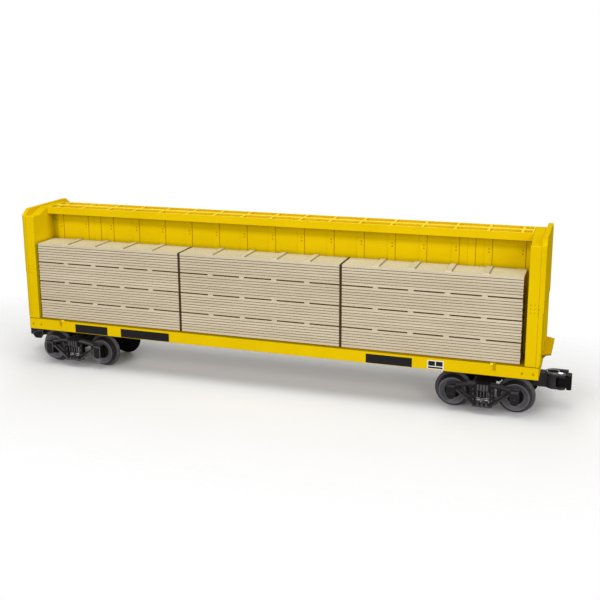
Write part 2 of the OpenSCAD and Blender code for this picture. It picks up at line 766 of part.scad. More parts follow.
module coupler_head_plan() difference() {
    union() {
        translate([head_back + head_w / 2, 0]) circle(d = head_w);
        translate([head_back + head_w / 2, -head_w / 2]) square([pin_x - head_back - head_w / 2, head_w]);
        translate([pin_x, pin_y]) circle(r = ear_r);
        translate([pin_x - 1, head_w / 2 - guard_w]) square([guard_tip - pin_x + 1, guard_w]);
    }
    translate([mouth_x, mouth_y0]) square([guard_tip, head_w / 2 - guard_w - mouth_y0]);
}

module coupler(end) color(iron_black) at_truck(end) difference() {
    union() {
        translate([0, 0, head_z]) linear_extrude(head_h) coupler_head_plan();
        block([shank_back, -shank_w / 2, head_z], [head_back + 2, shank_w / 2, shank_top]);
        block([neck_back, -shank_w / 2, head_z], [head_back + 2, shank_w / 2, neck_top]);
    }
    // Room between the ears for the knuckle's hub and arm
    block([pin_x - knuckle_hub_r - 0.3, -head_w, knuckle_z0 - knuckle_play],
        [coupler_reach, mouth_y0, knuckle_z1 + knuckle_play]);
    // Well in the top of the head
    translate([mouth_x - well_wall - well_r, 0, head_top - well_d]) cylinder(r = well_r, h = well_d + over);
    translate([pin_x, pin_y, head_z - over])
        cylinder(d = knuckle_pin_d + 2 * seat_clear, h = head_h + 2 * over);
    for (x = rivet_x) translate([x, 0, head_z - over])
        cylinder(d = coupler_rivet_d + 2 * seat_clear, h = shank_h + 2 * over);
    translate([tab_pivot_x, tab_in - tab_pin_len - run_clear, tab_pivot_z]) rotate([-90, 0, 0])
        cylinder(d = tab_pin_d + 2 * run_clear, h = tab_pin_len + over);
}

module coupler_rivets(end) color(bright_steel) at_truck(end) for (x = rivet_x) translate([x, 0, 0]) {
    translate([0, 0, head_z - rivet_head_h]) cylinder(d = rivet_head_d, h = rivet_head_h);
    translate([0, 0, head_z - fuse]) cylinder(d = coupler_rivet_d, h = bolster_top - head_z + 2 * fuse);
    translate([0, 0, bolster_top]) cylinder(d = rivet_head_d, h = rivet_head_h);
}

module knuckle_pin(end) color(bright_steel) at_truck(end) translate([pin_x, pin_y, 0]) {
    translate([0, 0, head_z]) cylinder(d = knuckle_pin_d, h = head_h + fuse);
    translate([0, 0, head_top]) cylinder(d = knuckle_pin_d + 1, h = rivet_head_h);
}

module knuckle_plan() {
    back = -head_w / 2 + 0.2;
    translate([pin_x, pin_y]) circle(r = knuckle_hub_r);
    front = nose_back + nose_t / 2;
    inside = pin_y + knuckle_hub_r;
    polygon([[pin_x, back], [front, back], [front, inside], [pin_x, inside]]);
}

module nose_plan() {
    back = -head_w / 2 + 0.2;
    r = nose_t / 2;
    translate([nose_back, back + r]) square([nose_t, nose_tip - back - 2 * r]);
    translate([nose_back + r, back + r]) circle(r = r);
    translate([nose_back + r, nose_tip - r]) circle(r = r);
}

module knuckle(end) color(iron_black) at_truck(end) difference() {
    union() {
        translate([0, 0, knuckle_z0]) linear_extrude(knuckle_z1 - knuckle_z0) knuckle_plan();
        translate([0, 0, nose_z0]) linear_extrude(nose_z1 - nose_z0) nose_plan();
    }
    translate([pin_x, pin_y, head_z]) cylinder(d = knuckle_pin_d + 2 * run_clear, h = head_h);
}

module uncoupling_tab(end) color(iron_black) at_truck(end) {
    tab_top = tab_pivot_z + 1.4;
    tab_foot = tab_top - tab_h;
    along(tab_in, tab_in + tab_t)
        polygon([[tab_pivot_x - 1.5, tab_pivot_z - 1], [tab_pivot_x - 1.5, tab_top],
            [tab_pivot_x + 1.5, tab_top], [tab_front, tab_pivot_z - 0.6], [tab_front, tab_pivot_z - 2],
            [tab_front - 1.6, tab_foot], [tab_pivot_x + 0.6, tab_foot]]);
    translate([tab_pivot_x, tab_in + fuse - tab_pin_len, tab_pivot_z]) rotate([-90, 0, 0])
        cylinder(d = tab_pin_d, h = tab_pin_len);
}

deck();
side_sill(near);  // side_sill_near
side_sill(far);  // side_sill_far
end_sill(left);  // end_sill_left
end_sill(right);  // end_sill_right
centre_sill();
body_bolster(left);  // body_bolster_left
body_bolster(right);  // body_bolster_right
bulkhead(left);  // bulkhead_left
bulkhead(right);  // bulkhead_right
end_sheet(left);  // end_sheet_left
end_sheet(right);  // end_sheet_right
platform(left);  // platform_left
platform(right);  // platform_right
partition(near);  // partition_near
partition(far);  // partition_far
top_chord();
tie_downs();
body_screws();
brake_housing();
brake_wheel();
lumber(near);  // lumber_near
lumber(far);  // lumber_far
straps(near);  // straps_near
straps(far);  // straps_far
kingpin(left);  // kingpin_left
kingpin(right);  // kingpin_right
washer(left);  // washer_left
washer(right);  // washer_right
bolster(left);  // bolster_left
bolster(right);  // bolster_right
sideframe(left, near);  // sideframe_left_near
sideframe(left, far);  // sideframe_left_far
sideframe(right, near);  // sideframe_right_near
sideframe(right, far);  // sideframe_right_far
springs(left);  // springs_left
springs(right);  // springs_right
axle(left, outer);  // axle_left_outer
axle(left, inner);  // axle_left_inner
axle(right, inner);  // axle_right_inner
axle(right, outer);  // axle_right_outer
wheel(left, outer, near);  // wheel_left_outer_near
wheel(left, outer, far);  // wheel_left_outer_far
wheel(left, inner, near);  // wheel_left_inner_near
wheel(left, inner, far);  // wheel_left_inner_far
wheel(right, inner, near);  // wheel_right_inner_near
wheel(right, inner, far);  // wheel_right_inner_far
wheel(right, outer, near);  // wheel_right_outer_near
wheel(right, outer, far);  // wheel_right_outer_far
coupler(left);  // coupler_left
coupler(right);  // coupler_right
coupler_rivets(left);  // coupler_rivets_left
coupler_rivets(right);  // coupler_rivets_right
knuckle(left);  // knuckle_left
knuckle(right);  // knuckle_right
knuckle_pin(left);  // knuckle_pin_left
knuckle_pin(right);  // knuckle_pin_right
uncoupling_tab(left);  // uncoupling_tab_left
uncoupling_tab(right);  // uncoupling_tab_right
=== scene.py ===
"""Looks of the model lumber car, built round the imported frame.

Most visible CAD nodes are replaced by the same shape with rounded moulded edges. The lumber, straps,
wheels and springs are built anew inside the space of their nodes. Shapes are in millimetres in the
row frame: X along the car, the near side is -Y, Z up from the bottom of the wheel flanges.
"""

import json
import math
import random

import bmesh
import bpy
from mathutils import Matrix, Vector

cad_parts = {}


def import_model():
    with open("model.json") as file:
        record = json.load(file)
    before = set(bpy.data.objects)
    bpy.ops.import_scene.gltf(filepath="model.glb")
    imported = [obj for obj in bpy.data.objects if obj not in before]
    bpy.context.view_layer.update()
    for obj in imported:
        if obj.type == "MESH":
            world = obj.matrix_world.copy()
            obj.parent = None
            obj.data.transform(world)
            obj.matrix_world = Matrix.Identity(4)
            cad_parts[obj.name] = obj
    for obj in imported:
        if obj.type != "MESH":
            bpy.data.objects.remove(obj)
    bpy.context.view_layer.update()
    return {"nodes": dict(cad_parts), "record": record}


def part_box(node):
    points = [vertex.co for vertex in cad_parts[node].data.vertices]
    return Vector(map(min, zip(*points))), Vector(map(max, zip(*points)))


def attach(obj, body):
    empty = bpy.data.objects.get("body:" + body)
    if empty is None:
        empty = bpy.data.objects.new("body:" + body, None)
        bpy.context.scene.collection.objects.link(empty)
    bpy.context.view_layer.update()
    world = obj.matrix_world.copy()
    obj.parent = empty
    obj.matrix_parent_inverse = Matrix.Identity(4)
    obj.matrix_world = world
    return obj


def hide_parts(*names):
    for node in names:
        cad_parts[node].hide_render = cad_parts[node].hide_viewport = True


MM = 0.001
SEED = 7

# Sides and ends of the car. Pieces are made for the near side or the right end, and turned for the other
SIDE_TURNS = (("near", 0), ("far", 180))
END_TURNS = (("left", 180), ("right", 0))
SIDES_OUT = (("near", -1), ("far", 1))
ENDS = ("left", "right")
NEAR_OUT = (0, -1, 0)

# Camera that took the photograph: place in millimetres, angles in degrees, lens in picture pixels
PICTURE = 600
CAMERA_PLACE = (195.86, -544.2, 209.73)
CAMERA_YAW = 19.337
CAMERA_PITCH = 12.712
CAMERA_ROLL = -0.476
LENS_PX = 930.9
CENTRE_PX = (282.37, 258.32)
SENSOR = 36.0
CLIP_START = 0.01

# Stage, in metres and watts. Lamps are name, place, size and power, aimed at the middle of the car
CAR_MIDDLE = (0, 0, 0.06)
LAMPS = (
    ("overhead", (0.0, -0.25, 0.95), 0.7, 4.1),
    ("left_front", (-0.25, -0.95, 0.55), 0.5, 2.3),
    ("right_front", (0.75, -0.85, 0.5), 0.6, 3.7),
    ("right", (1.1, -0.3, 0.45), 0.5, 1.6),
    ("front", (0.0, -1.1, 0.2), 0.6, 3.1),
    ("rear", (-0.3, 1.2, 0.5), 1.0, 6.5),
)
WORLD_LIGHT = 0.24
FLOOR_REACH = 1.6
FLOOR_FADE = (0.075, 0.17)
FLOOR_SQUASH = (0.4, 1, 1)
FLOOR_PALE = ((0.96, 0.96, 0.96, 1), (0.98, 0.98, 0.98, 1))
FLOOR_SPREAD = (0.4, 0.4, 0.4, 1)

# Least part of a face's normal along an axis: of a flat face, of a slope, and of a rounded edge
FLAT, SLOPED, ROUNDED = 0.9, 0.5, 0.3

# Partition posts, numbered from the middle of the car, with one more between two of them
POST_PITCH = 19.1
POSTS = 8
EXTRA_POST = 6.5

# Rivet heads
POST_RIVET = {"radius": 0.55, "height": 0.4, "sides": 12, "steps": 3}
SILL_RIVET = {"radius": 0.62, "height": 0.5}
PATCH_RIVET = {"radius": 0.36, "height": 0.18, "sides": 10, "steps": 2}
END_RIVET = {"radius": 0.4, "height": 0.22, "sides": 10, "steps": 3}

# Bare panels on the near sill: left and right edge, and how far their top lies below the deck
PANELS = ((-131.6, -107.5), (-97.6, -62.8), (67.1, 95.0))
FRAMED_PANEL = (104.1, 113.6)
PANEL_TOP = 1.6
PANEL_FOOT = 0.35
PANEL_T = 0.06
PANEL_SUNK = 0.2
FIELD_T = 0.108

# Lumber: tiers of boards with slots between them, spacers in the slots and cleats on top
TIERS = 4
BOARDS = 7
TIER_PITCH = 12.95
SLOT_H = 0.95
SLOT_D = 6.0
SLOT_SEEN = 0.55
TIER_H = TIER_PITCH - SLOT_H
LAYER = TIER_H / BOARDS
BOARD_GAP = 0.4
BOARD_ROUND = 0.34
BOARD_END_PLAY = 0.3
BOARD_FACE_PLAY = 0.1
FACE_DEPTH = 1.2
SPACERS = 4
SPACER_W = 3.3
SPACER_SHY = 0.25
SPACER_LAP = 0.05
CLEAT_SHY = 0.8
CLEAT_SLOPE = 0.9
CLEAT_SUNK = 0.2
STRAP_HALF = 0.5

# Side frames: how far the lids of the axle boxes and the flanges stand out from the web
LID_T = 1.0
FLANGE_T = 0.6
HALF_BASE = 18.15
AXLE_R = 1.5

# Slots of the materials on the truck castings
HIGHLIGHT_SLOT, RECESS_SHADE_SLOT, LID_SLOT, LIT_FACE_SLOT, FLANGE_SLOT = 1, 2, 3, 4, 5

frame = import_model()
nodes = frame["nodes"]


def span(node):
    """Lowest and highest corner of a CAD node, in millimetres."""
    low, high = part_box(node)
    return low / MM, high / MM


def outer_face(node, out):
    """Y of a CAD node's face towards the near side (-1) or the far side (1)."""
    low, high = span(node)
    return low.y if out < 0 else high.y


def body_of(node):
    """Body that a CAD node belongs to."""
    return next(body for body, members in frame["record"]["behaviour"]["bodies"].items() if node in members)


# Materials


def shader_node(tree, kind, inputs=None, **settings):
    """New shader node with its settings and its inputs, which are values or sockets to link."""
    made = tree.nodes.new("ShaderNode" + kind)
    for key, value in settings.items():
        setattr(made, key, value)
    for key, value in (inputs or {}).items():
        if isinstance(value, bpy.types.NodeSocket):
            tree.links.new(value, made.inputs[key])
        else:
            made.inputs[key].default_value = value
    return made


def linear(colour):
    """Colour of a picture, 0 to 255, as the shader's linear colour."""
    return tuple(
        (c / 255 / 12.92) if c <= 10 else ((c / 255 + 0.055) / 1.055) ** 2.4 for c in colour
    ) + (1.0,)


class Finish:
    """A material with a principled shader and helpers for its procedural detail."""

    def __init__(self, name, roughness, metallic=0.0, specular=0.5):
        self.material = bpy.data.materials.new(name)
        self.material.use_nodes = True
        self.tree = self.material.node_tree
        self.shader = self.tree.nodes["Principled BSDF"]
        self.roughness = roughness
        self.shader.inputs["Roughness"].default_value = roughness
        self.shader.inputs["Metallic"].default_value = metallic
        self.shader.inputs["Specular IOR Level"].default_value = specular
        self.place = shader_node(self.tree, "TexCoord").outputs["Object"]

    def noise(self, scale, detail, stretch=(1, 1, 1)):
        """Noise in the row frame; scale is in cells a metre, stretch thins it along an axis."""
        mapped = shader_node(self.tree, "Mapping", {"Vector": self.place, "Scale": stretch}).outputs["Vector"]
        made = shader_node(self.tree, "TexNoise", {"Vector": mapped, "Scale": scale, "Detail": detail})
        return made.outputs["Fac"]

    def ramp(self, value, stops):
        """Colour ramp of (place, colour) stops over a value socket."""
        made = shader_node(self.tree, "ValToRGB", {"Fac": value})
        elements = made.color_ramp.elements
        while len(elements) < len(stops):
            elements.new(0.5)
        for element, (place, colour) in zip(elements, stops):
            element.position = place
            element.color = colour
        return made.outputs["Color"]

    def tone(self, value, dark, light, low=0.3, high=0.7):
        """Ramp between two picture colours over a value socket."""
        return self.ramp(value, [(low, linear(dark)), (high, linear(light))])

    def mix(self, factor, first, second, blend="MIX"):
        """Mix of two colours, each a value or a socket."""
        return shader_node(
            self.tree, "Mix", {0: factor, 6: first, 7: second}, data_type="RGBA", blend_type=blend
        ).outputs[2]

    def range(self, value, low, high):
        """Value from 0 to 1 spread over low to high."""
        return shader_node(self.tree, "MapRange", {"Value": value, "To Min": low, "To Max": high}).outputs[0]

    def shaded(self, colour, axis, stops):
        """Colour darkened along an axis; stops are (place in millimetres, share of the light)."""
        along = shader_node(self.tree, "SeparateXYZ", {"Vector": self.place}).outputs[axis]
        low, high = stops[0][0], stops[-1][0]
        place = shader_node(
            self.tree, "MapRange", {"Value": along, "From Min": low * MM, "From Max": high * MM}
        ).outputs[0]
        shade = self.ramp(place, [((at - low) / (high - low), (share,) * 3 + (1.0,)) for at, share in stops])
        return self.mix(1.0, colour, shade, blend="MULTIPLY")

    def set_colour(self, colour):
        """Base colour from a colour socket."""
        self.tree.links.new(colour, self.shader.inputs["Base Color"])

    def set_gloss(self, scale, detail, spread):
        """Roughness that wanders by the spread about its plain level."""
        uneven = self.range(self.noise(scale, detail), self.roughness - spread, self.roughness + spread)
        self.tree.links.new(uneven, self.shader.inputs["Roughness"])

    def set_bump(self, height, strength, depth):
        """Unevenness of the surface; depth is in metres."""
        made = shader_node(self.tree, "Bump", {"Height": height, "Strength": strength, "Distance": depth})
        self.tree.links.new(made.outputs["Normal"], self.shader.inputs["Normal"])


def moulded_plastic(name, dark, light, roughness, specular=0.22, shades=None):
    """Satin moulded plastic with a slow change of colour and fine grain, in shade along some axes."""
    finish = Finish(name, roughness, specular=specular)
    colour = finish.tone(finish.noise(scale=28, detail=4), dark, light)
    for axis, stops in (shades or {}).items():
        colour = finish.shaded(colour, axis, stops)
    finish.set_colour(colour)
    finish.set_gloss(scale=420, detail=2, spread=0.07)
    finish.set_bump(finish.noise(scale=5200, detail=2), strength=0.12, depth=0.00004)
    return finish.material


def painted_boards(name, dark, light):
    """Painted lumber: each board has its own tone, with streaks of grain along the car."""
    finish = Finish(name, roughness=0.72, specular=0.15)
    own = shader_node(finish.tree, "NewGeometry").outputs["Random Per Island"]
    grain = finish.noise(scale=900, detail=5, stretch=(0.05, 1.0, 1.0))
    blotch = finish.noise(scale=60, detail=3, stretch=(0.4, 1.0, 1.0))
    tone = finish.tone(finish.range(own, 0.2, 0.8), dark, light, low=0.0, high=1.0)
    streaks = finish.tone(grain, dark, light, low=0.35, high=0.65)
    blotches = finish.tone(blotch, dark, light, low=0.35, high=0.65)
    finish.set_colour(finish.mix(0.2, finish.mix(0.35, tone, streaks), blotches))
    finish.set_bump(grain, strength=0.25, depth=0.00006)
    return finish.material


def cast_metal(name, dark, light, roughness, metallic=0.0, specular=0.4):
    """Painted or blackened casting: mottled, with a fine sandy skin."""
    finish = Finish(name, roughness, metallic, specular)
    finish.set_colour(finish.tone(finish.noise(scale=170, detail=5), dark, light))
    finish.set_gloss(scale=800, detail=3, spread=0.1)
    finish.set_bump(finish.noise(scale=3600, detail=3), strength=0.2, depth=0.00005)
    return finish.material


def turned_steel(name, dark, light, roughness):
    """Bright steel with fine turning marks."""
    finish = Finish(name, roughness, metallic=1.0)
    streaks = finish.noise(scale=700, detail=3, stretch=(1.0, 6.0, 1.0))
    finish.set_colour(finish.tone(streaks, dark, light))
    finish.set_gloss(scale=2400, detail=2, spread=0.08)
    marks = finish.noise(scale=2600, detail=2, stretch=(1.0, 5.0, 1.0))
    finish.set_bump(marks, strength=0.1, depth=0.00003)
    return finish.material


# Shade under the chord and over the load, in the corners by the partition, and beside the load
INNER_SHADE = {
    "Z": ((84.0, 0.65), (85.5, 0.7), (87.0, 0.84), (93.5, 1.0), (95.0, 0.97), (97.4, 0.68), (102.0, 0.8)),
    "X": ((-160.0, 0.52), (-156.5, 0.56), (-154.0, 0.92), (-152.0, 1.0), (160.0, 1.0)),
}
CORNER_SHADE = {"Y": ((-14.0, 1.0), (-7.0, 0.74), (0.0, 0.68), (7.0, 0.74), (14.0, 1.0))}
LOAD_SHADE = {"Z": ((33.0, 0.55), (83.0, 0.55), (87.0, 1.0), (107.0, 1.0))}


def yellow(name, dark, light, roughness=0.5, shades=None):
    """The body's yellow plastic, without gloss."""
    return moulded_plastic(name, dark, light, roughness, specular=0.0, shades=shades)


YELLOW = yellow("yellow_plastic", (227, 190, 5), (236, 199, 9))
INNER = yellow("yellow_inner", (225, 191, 4), (235, 200, 7), shades=INNER_SHADE)
# Inner faces of the bulkheads: painted light in a paler, greener yellow than the body's, with painted shade
# towards the partition, and on the left also below the load's top
CORNERS = {
    "left": yellow("yellow_corner_left", (231, 198, 5), (240, 207, 9), shades=CORNER_SHADE | LOAD_SHADE),
    "right": yellow("yellow_corner_painted_light_and_shade", (231, 198, 5), (240, 207, 9), shades=CORNER_SHADE),
}
# Painted shade: the deck and the tops of the sills, darker as in the shade of the load
DECK_SHADE = yellow("yellow_deck_painted_shade", (140, 112, 3), (155, 124, 5), roughness=0.6)
# Painted shade: a darker yellow for the rivet heads and the tie-down lugs
RIVET = yellow("yellow_trim_painted_shade", (188, 148, 3), (200, 160, 4))
# Painted shade: a darker yellow for the body bolsters, the centre sill, the platform edges and the shadow
# lines beside the partition posts
SHADE = yellow("yellow_painted_shade", (150, 118, 2), (170, 135, 4), roughness=0.6)
# Painted light: a paler yellow on the tops of the chord's rails and bars, and painted highlight on the lug
# horns
LIGHT = yellow("yellow_painted_light", (248, 217, 50), (254, 225, 64))
# Painted shade: a darker yellow in the pockets of the top chord
POCKET_SHADE = yellow("yellow_pocket_painted_shade", (216, 178, 20), (228, 190, 26), roughness=0.6)
TAN = painted_boards("tan_boards", (196, 182, 154), (224, 210, 184))
# Painted light: the board paint made a little paler and greener on the faces that look up
TAN_TOP_LIT = painted_boards("tan_top_painted_light", (197, 188, 155), (225, 217, 185))
# The brown of the load's core and board ends, partly painted light: paler and bluer than the plastic, to make
# up for the yellow shade at the load's ends
BROWN = moulded_plastic("brown_core_painted_light", (186, 158, 138), (202, 174, 154), 0.6, specular=0.1)
# The core's brown plastic, darkened as painted shade on the shallow face inside each slot
SLOT_SHADE = moulded_plastic("slot_painted_shade", (76, 62, 38), (90, 74, 48), 0.7, specular=0.05)
SLOT_BROWN = moulded_plastic("slot_brown", (104, 82, 50), (118, 95, 62), 0.7, specular=0.08)
# Painted shade: a darker tone on the sides of the cleats that face +X
CLEAT = moulded_plastic("cleat_side_painted_shade", (148, 136, 98), (164, 151, 112), 0.7, specular=0.05)
STRAP = moulded_plastic("strap_band", (56, 42, 22), (72, 56, 34), 0.6, specular=0.05)
PANEL = moulded_plastic("panel_black", (24, 23, 24), (33, 31, 32), 0.55, specular=0.08)
WHITE = moulded_plastic("panel_white", (228, 226, 220), (240, 238, 232), 0.5)
BLACK = cast_metal("black_casting", (40, 38, 40), (56, 53, 55), 0.5, specular=0.1)
# Painted highlight: pale grey on the rounded edges of the castings
EDGE = cast_metal("black_casting_edge_painted_highlight", (92, 89, 91), (126, 122, 124), 0.4, specular=0.3)
# Painted highlight: a lighter grey on the edges of the couplers and knuckles and on the rim of the coupler
# well
RIM = cast_metal("black_casting_rim_painted_highlight", (128, 124, 126), (165, 160, 162), 0.4, specular=0.3)
# Painted shade: near black in the recesses of the castings, on the knuckles, axles, wheel plates and backs,
# and on the cap before the springs
RECESS = cast_metal("black_casting_recess_painted_shade", (13, 12, 13), (20, 19, 20), 0.6, specular=0.05)
# A darker black: the lids' own tone, and painted shade on the web of the side frames, the bolsters and the
# uncoupling tabs
LID = cast_metal("black_casting_lid_and_painted_shade", (22, 21, 22), (31, 29, 31), 0.5, specular=0.1)
# Painted light: a lighter black on the upward faces of the side frames, on ribs and bolts, and on the wheel
# flanges
RAISED = cast_metal("black_casting_raised_painted_light", (66, 63, 65), (86, 83, 85), 0.45, specular=0.15)
FLANGE = cast_metal("black_casting_flange", (42, 40, 42), (58, 55, 57), 0.45, specular=0.12)
CASTING = [BLACK, EDGE, RECESS, LID, RAISED, FLANGE]
WHEEL = cast_metal("wheel_metal", (82, 80, 84), (105, 102, 106), 0.42, metallic=0.15, specular=0.25)
SPRING = cast_metal("spring_steel", (132, 130, 132), (168, 166, 168), 0.28, metallic=0.6)
STEEL = turned_steel("bright_steel", (168, 168, 172), (205, 205, 208), 0.28)


# Shapes


class Shape:
    """Mesh under construction, in millimetres."""

    def __init__(self):
        self.bm = bmesh.new()

    def prism(self, outline, axis, low, high, slot=0):
        """Outline extruded along an axis; its two coordinates are the other axes in order."""

        def ring(depth):
            made = []
            for point in outline:
                place = list(point)
                place.insert("XYZ".index(axis), depth)
                made.append(self.bm.verts.new(place))
            return made

        bottom, top = ring(low), ring(high)
        count = len(outline)
        faces = [self.bm.faces.new(bottom[::-1]), self.bm.faces.new(top)]
        for k in range(count):
            after = (k + 1) % count
            faces.append(self.bm.faces.new((bottom[k], bottom[after], top[after], top[k])))
        for face in faces:
            face.material_index = slot
        return self

    def box(self, low, high, slot=0):
        """Box between its lowest and highest corner."""
        (x0, y0, z0), (x1, y1, z1) = low, high
        return self.prism([(x0, y0), (x1, y0), (x1, y1), (x0, y1)], "Z", z0, z1, slot)

    def lathe(self, profile, origin, axis, sides=64, slot=0):
        """Closed (radius, height) profile turned about an axis through the origin."""
        tiny, weld = 1e-6, 1e-5
        turn = Vector((0, 0, 1)).rotation_difference(Vector(axis)).to_matrix()
        rings = []
        for k in range(sides):
            angle = 2 * math.pi * k / sides
            ring = [Vector((r * math.cos(angle), r * math.sin(angle), h)) for r, h in profile]
            rings.append([self.bm.verts.new(turn @ p + Vector(origin)) for p in ring])
        for k, ring in enumerate(rings):
            after = rings[(k + 1) % sides]
            for j in range(len(profile)):
                i = (j + 1) % len(profile)
                on_axis = profile[j][0] <= tiny and profile[i][0] <= tiny
                if not on_axis:
                    face = self.bm.faces.new((ring[j], after[j], after[i], ring[i]))
                    face.material_index = slot
        bmesh.ops.remove_doubles(self.bm, verts=self.bm.verts, dist=weld)
        return self

    def dome(self, centre, axis, radius, height, slot=0, sides=16, steps=4):
        """Rivet head standing on a surface, with its foot a little below it."""
        foot = -0.1
        arc = [
            (radius * math.cos(math.pi / 2 * k / steps), height * math.sin(math.pi / 2 * k / steps))
            for k in range(steps)
        ]
        return self.lathe([(0, foot), (radius, foot)] + arc + [(0, height)], centre, axis, sides, slot)

    def skin(self, rings):
        """Closed skin over a row of rings of points."""
        made = [[self.bm.verts.new(p) for p in ring] for ring in rings]
        count = len(made[0])
        for one, two in zip(made, made[1:]):
            for s in range(count):
                after = (s + 1) % count
                self.bm.faces.new((one[s], one[after], two[after], two[s]))
        self.bm.faces.new(made[0][::-1])
        self.bm.faces.new(made[-1])
        return self

    def tube(self, path, radius, sides=12):
        """Round wire along a path of points."""
        points = [Vector(p) for p in path]
        last = len(points) - 1
        angles = [2 * math.pi * s / sides for s in range(sides)]
        rings, side = [], None
        for k, point in enumerate(points):
            ahead = (points[min(k + 1, last)] - points[max(k - 1, 0)]).normalized()
            side = (side or ahead.orthogonal()).cross(ahead).cross(ahead).normalized() * -1
            other = ahead.cross(side)
            rings.append([point + radius * (math.cos(a) * side + math.sin(a) * other) for a in angles])
        return self.skin(rings)

    def cad(self, node):
        """The CAD node's own shape, with its flat faces whole."""
        weld, flat = 0.002, math.radians(0.6)
        self.bm.from_mesh(nodes[node].data)
        bmesh.ops.scale(self.bm, vec=(1 / MM,) * 3, verts=self.bm.verts)
        bmesh.ops.remove_doubles(self.bm, verts=self.bm.verts, dist=weld)
        bmesh.ops.dissolve_limit(self.bm, angle_limit=flat, verts=self.bm.verts, edges=self.bm.edges)
        for face in self.bm.faces:
            face.material_index = 0
        return self

    def rounded(self, width, segments=2, slot=-1):
        """Rounds the sharp edges, apart from those of small bores; slot is for the new faces."""
        shortest, limit = 0.3, math.radians(35)
        sharp = [
            e for e in self.bm.edges
            if len(e.link_faces) == 2 and e.calc_face_angle() > limit and e.calc_length() > shortest
        ]
        bmesh.ops.bevel(
            self.bm, geom=sharp, offset=width, offset_type="OFFSET", segments=segments,
            profile=0.5, affect="EDGES", clamp_overlap=True, material=slot,
        )
        return self

    def tinted(self, rule):
        """Gives each face the material slot that the rule finds from the face and its middle."""
        for face in self.bm.faces:
            face.normal_update()
            face.material_index = rule(face, face.calc_center_median())
        return self

    def turned(self, degrees):
        """Turned about the car's upright middle line."""
        turn = Matrix.Rotation(math.radians(degrees), 4, "Z")
        bmesh.ops.transform(self.bm, matrix=turn, verts=self.bm.verts)
        return self

    def piece(self, name, materials, body, stands_for=(), slot=None):
        """Turns the shape into a piece that rides on a body."""
        bmesh.ops.recalc_face_normals(self.bm, faces=self.bm.faces)
        sharp = math.radians(50)
        for face in self.bm.faces:
            face.smooth = True
        for edge in self.bm.edges:
            edge.smooth = len(edge.link_faces) == 2 and edge.calc_face_angle() < sharp
        bmesh.ops.scale(self.bm, vec=(MM,) * 3, verts=self.bm.verts)
        mesh = bpy.data.meshes.new(name)
        self.bm.to_mesh(mesh)
        self.bm.free()
        for made in materials if isinstance(materials, (list, tuple)) else [materials]:
            mesh.materials.append(made)
        obj = bpy.data.objects.new(name, mesh)
        bpy.context.scene.collection.objects.link(obj)
        normals = obj.modifiers.new("even_normals", "WEIGHTED_NORMAL")
        normals.keep_sharp = True
        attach(obj, body)
        if stands_for:
            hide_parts(*stands_for)


def look(node, shape, materials, slot):
    """Replaces a CAD node by a shape."""
    shape.piece(node + "_look", materials, body_of(node), [node], slot)


def soften(node, materials, width, slot, edge_slot=-1):
    """Replaces a CAD node by the same shape with rounded edges."""
    look(node, Shape().cad(node).rounded(width, slot=edge_slot), materials, slot)


def paint(node, material):
    """Gives a CAD node that keeps its own mesh a better material."""
    nodes[node].data.materials.clear()
    nodes[node].data.materials.append(material)


# Car body


def car_body():
    """Deck, sills, partition, bulkheads, end sheets, platforms, top chord and lugs."""
    # The deck, the body bolsters and the centre sill are in painted shade
    paint("deck", DECK_SHADE)
    for end in ENDS:
        paint("end_sill_" + end, YELLOW)
        paint("body_bolster_" + end, SHADE)
    paint("centre_sill", SHADE)
    for side, _ in SIDE_TURNS:
        side_sill("side_sill_" + side)
        soften("partition_" + side, INNER, width=0.14, slot="body_plastic")
    for end in ENDS:
        bulkhead(end)
        soften("end_sheet_" + end, YELLOW, width=0.25, slot="body_plastic")
        platform("platform_" + end)
    top_chord()
    tie_downs()


def side_sill(node):
    """Side sill: its top lies in the shade of the load."""
    shape = Shape().cad(node).rounded(width=0.3)
    shape.tinted(lambda face, middle: 1 if face.normal.z > ROUNDED else 0)
    look(node, shape, [YELLOW, DECK_SHADE], "body_plastic")


def bulkhead(end):
    """Bulkhead: its face towards the load lies in shade along the partition."""
    node = "bulkhead_" + end
    inward = 1 if end == "left" else -1
    shape = Shape().cad(node).rounded(width=0.45, segments=3)
    shape.tinted(lambda face, middle: 1 if face.normal.x * inward > FLAT else 0)
    look(node, shape, [YELLOW, CORNERS[end]], "body_plastic")


def tie_downs():
    """Short lugs over the edge of the deck in painted shade, each with a horn towards the middle of the car
    in painted highlight.
    """
    _, high = span("tie_downs")
    _, deck_high = span("deck")
    lug_h, lug_w, horn_h, horn_w, horn_depth, shy = 3.7, 1.4, 0.8, 1.6, 1.5, 0.1
    inner = high.x - lug_w
    shape = Shape().cad("tie_downs")
    for vert in shape.bm.verts:
        vert.co.z = max(vert.co.z, deck_high.z - lug_h)
    for end in (-1, 1):
        for out in (-1, 1):
            x0, x1 = sorted((end * (inner - horn_w), end * (inner + shy)))
            y0, y1 = sorted((out * (high.y - horn_depth), out * (high.y - shy)))
            shape.box((x0, y0, deck_high.z - horn_h), (x1, y1, high.z - shy))
    shape.rounded(width=0.2).tinted(lambda face, middle: 1 if abs(middle.x) < inner - shy else 0)
    look("tie_downs", shape, [RIVET, LIGHT], "body_plastic")


def top_chord():
    """Top chord: painted light on the tops of its rails and bars, painted shade in its pockets."""
    low, high = span("top_chord")
    skin, pocket_rise = 0.3, 0.5
    chord_lit_slot, pocket_shade_slot = 1, 2

    def rule(face, middle):
        if face.normal.z > ROUNDED and middle.z > high.z - skin:
            return chord_lit_slot
        in_pocket = abs(middle.y) < high.y - skin and middle.z > low.z + pocket_rise
        return pocket_shade_slot if in_pocket else 0

    shape = Shape().cad("top_chord").rounded(width=0.22).tinted(rule)
    look("top_chord", shape, [YELLOW, LIGHT, POCKET_SHADE], "body_plastic")


